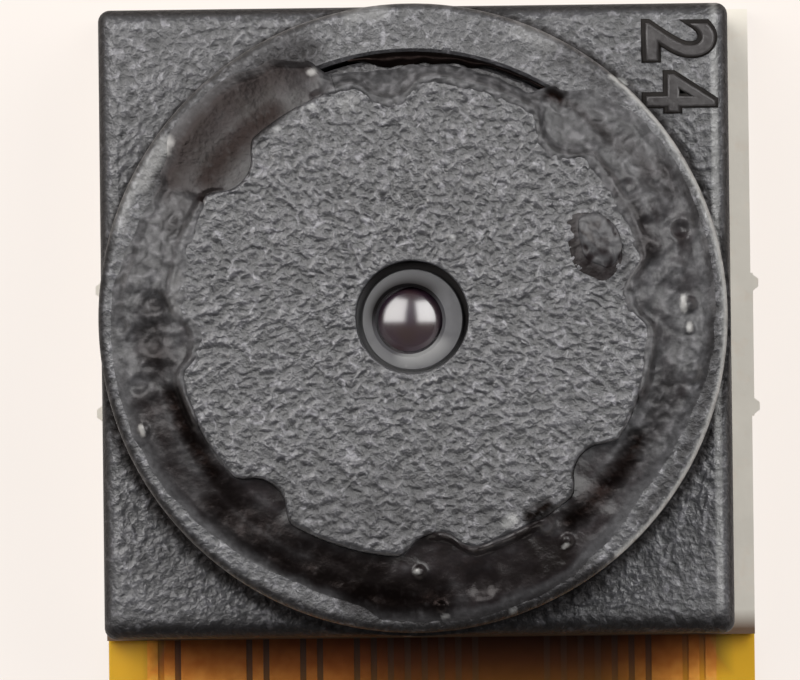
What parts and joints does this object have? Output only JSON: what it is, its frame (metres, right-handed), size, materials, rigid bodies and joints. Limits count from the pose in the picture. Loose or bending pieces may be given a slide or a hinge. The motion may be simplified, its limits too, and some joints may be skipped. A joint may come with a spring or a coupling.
{
  "type": "camera module",
  "caption": "Fixed-focus camera module: a notched lens barrel glued into a square holder over an image sensor on a rigid board, with a flat flexible tail ending in edge contacts.",
  "frame": {"origin": "where the optical axis meets the back face of the stiffener under the board", "axes": "+Z along the optical axis, out of the lens; the flexible tail runs towards -Y; +X to the right when the lens is seen from the front with the tail down"},
  "size_m": [0.0124, 0.0211, 0.0056],
  "materials": {
    "holder_plastic": "moulded black plastic with a fine matt grain",
    "barrel_plastic": "moulded black plastic, face coarsely textured",
    "thread_adhesive": "cured dark brown adhesive, glossy and lumpy",
    "bond_adhesive": "cured black bonding adhesive",
    "lens_glass": "clear moulded lens with a violet coating",
    "filter_glass": "coated infrared-cut glass",
    "cover_glass": "thin clear glass",
    "black_film": "matt black film",
    "silicon": "polished silicon with a fine pixel field",
    "solder": "reflowed solder",
    "capacitor_ceramic": "fired ceramic",
    "tin_plate": "matt tin plate",
    "board_laminate": "pale board laminate with cut edges",
    "steel_plate": "rolled stainless sheet",
    "cover_film": "clear amber polyimide film",
    "base_film": "amber polyimide film",
    "copper": "etched copper foil",
    "gold_plate": "thin hard gold plate"
  },
  "bodies": {
    "root": {"lens_holder": "holder_plastic", "lens_barrel": "barrel_plastic", "thread_lock_adhesive": "thread_adhesive", "front_lens": "lens_glass", "aperture_stop": "black_film", "middle_lens": "lens_glass", "lens_spacer": "black_film", "rear_lens": "lens_glass", "lens_retainer": "black_film", "infrared_filter": "filter_glass", "sensor_cover_glass": "cover_glass", "sensor_dam": "black_film", "sensor_die": "silicon", "solder_balls": "solder", "capacitor_bodies": "capacitor_ceramic", "capacitor_terminals": "tin_plate", "head_board": "board_laminate", "holder_adhesive": "bond_adhesive", "back_stiffener": "steel_plate", "bottom_coverlay": "cover_film", "flex_base": "base_film", "copper_traces": "copper", "top_coverlay": "cover_film", "contact_fingers": "gold_plate", "contact_stiffener": "base_film"}
  },
  "joints": []
}
